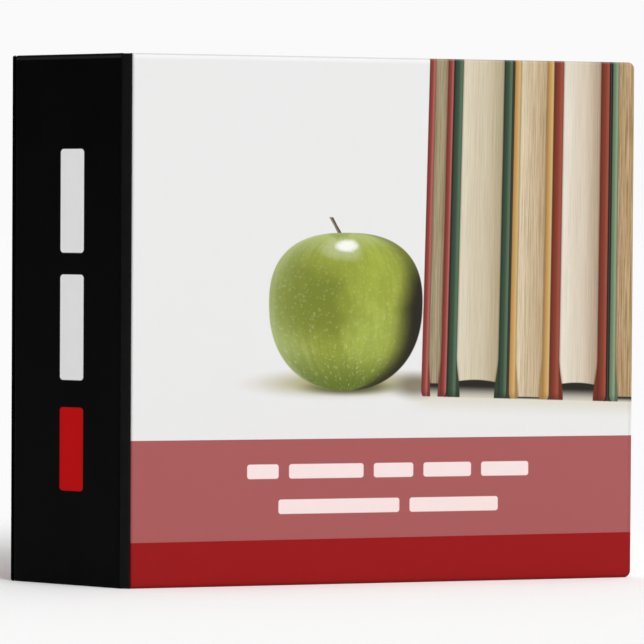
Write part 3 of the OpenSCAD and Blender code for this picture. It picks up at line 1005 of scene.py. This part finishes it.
def camera():
    """The photograph's viewing angle."""
    data = bpy.data.cameras.new("camera")
    data.lens = CAMERA_LENS
    data.sensor_width = CAMERA_SENSOR
    data.clip_end = CAMERA_REACH
    seen = bpy.data.objects.new("camera", data)
    heading = Matrix.Rotation(math.radians(CAMERA_HEADING), 4, "Z")
    tilt = Matrix.Rotation(math.radians(CAMERA_TILT), 4, "X")
    roll = Matrix.Rotation(math.radians(CAMERA_ROLL), 4, "Z")
    seen.matrix_world = Matrix.Translation(CAMERA_AT) @ heading @ tilt @ roll
    bpy.context.scene.collection.objects.link(seen)
    bpy.context.scene.camera = seen


# Half the floor's width, in metres
FLOOR_HALF = 30.0


def floor():
    """A plain pale floor."""
    tree = Tree("floor", Roughness=1.0, Specular_IOR_Level=0.0)
    cloud = tree.noise(tree.object_mm(), 0.002, 2.0)
    tree.use("Base Color", tree.mix(cloud, linear("f9f9f9"), linear("fafafa")))
    corners = [(x * FLOOR_HALF, y * FLOOR_HALF, 0) for x, y in ((-1, -1), (1, -1), (1, 1), (-1, 1))]
    mesh = bpy.data.meshes.new("floor")
    mesh.from_pydata(corners, [], [(0, 1, 2, 3)])
    mesh.materials.append(tree.material)
    stage = bpy.data.objects.new("floor", mesh)
    bpy.context.scene.collection.objects.link(stage)


# Brightness of the background, of the sky, and of the sky on its dark side, whose direction comes next
BACKGROUND = 0.955
SKY = 0.70
SKY_DARK = 0.02
DARK_SIDE = (-0.837, 0.547, 0.0)
# The sky darkens between these two cosines of the angle to the dark side
SKY_FALL = (0.35, 0.85)
# The lamp's direction, its strength, and its apparent size in degrees
SUN_FROM = (-0.08, -0.50, 0.86)
SUN_STRENGTH = 1.5
SUN_SPREAD = 30.0


def lights():
    """A soft studio sky, darker on the side that the spine mirrors, and one broad lamp high in front."""
    world = bpy.data.worlds.new("studio")
    world.use_nodes = True
    bpy.context.scene.world = world
    nodes, links = world.node_tree.nodes, world.node_tree.links
    sky = nodes["Background"]
    sky.inputs["Color"].default_value = (1.0, 1.0, 1.0, 1.0)
    direction = nodes.new("ShaderNodeTexCoord")
    facing = nodes.new("ShaderNodeVectorMath")
    facing.operation = "DOT_PRODUCT"
    facing.inputs[1].default_value = DARK_SIDE
    links.new(direction.outputs["Generated"], facing.inputs[0])
    fall = nodes.new("ShaderNodeMapRange")
    fall.interpolation_type = "SMOOTHSTEP"
    for socket, value in zip(fall.inputs[1:5], (*SKY_FALL, SKY, SKY_DARK)):
        socket.default_value = value
    links.new(facing.outputs["Value"], fall.inputs[0])
    links.new(fall.outputs[0], sky.inputs["Strength"])
    backdrop = nodes.new("ShaderNodeBackground")
    backdrop.inputs["Color"].default_value = (BACKGROUND, BACKGROUND, BACKGROUND, 1.0)
    seen = nodes.new("ShaderNodeLightPath")
    choose = nodes.new("ShaderNodeMixShader")
    links.new(seen.outputs["Is Camera Ray"], choose.inputs[0])
    links.new(sky.outputs[0], choose.inputs[1])
    links.new(backdrop.outputs[0], choose.inputs[2])
    links.new(choose.outputs[0], nodes["World Output"].inputs["Surface"])

    data = bpy.data.lights.new("sun", "SUN")
    data.energy = SUN_STRENGTH
    data.angle = math.radians(SUN_SPREAD)
    sun = bpy.data.objects.new("sun", data)
    sun.rotation_euler = Vector(SUN_FROM).to_track_quat("Z", "Y").to_euler()
    bpy.context.scene.collection.objects.link(sun)
    bpy.context.scene.view_settings.view_transform = "Standard"


# ---------------------------------------------------------------- build
dress_cad_nodes()
cover_skin("front", FRONT, "front_print", "front_cover", HINGE_CORNER_R)
cover_skin("back", BACK, "back_print", "back_cover", REAR_CORNER_R)
spine_skin()
board_core("front_board", COVER_W, CORNER_R - WRAP_T, FRONT, "front_cover", HINGE_CORNER_R)
board_core("back_board", COVER_W, CORNER_R - WRAP_T, BACK, "back_cover", REAR_CORNER_R)
board_core("spine_board", SPINE_W - HINGE_R, HINGE_CORNER_R, SPINE, "spine", HINGE_CORNER_R)
liner_sheet("front_liner", COVER_W, LINER_GAP, FRONT, "front_cover")
liner_sheet("back_liner", COVER_W, LINER_GAP, BACK, "back_cover")
liner_sheet("spine_liner", SPINE_W - HINGE_R, LINER_HINGE_GAP, SPINE, "spine")
for side, width, matrix in (("front", FRONT_POCKET_W, FRONT), ("back", BACK_POCKET_W, BACK)):
    pocket_sheet(side + "_pocket_high", width, HIGH_POCKET_H, 0, matrix, side + "_cover")
    pocket_sheet(side + "_pocket_low", width, LOW_POCKET_H, 1, matrix, side + "_cover")
hinge_strips()
floor()
lights()
camera()
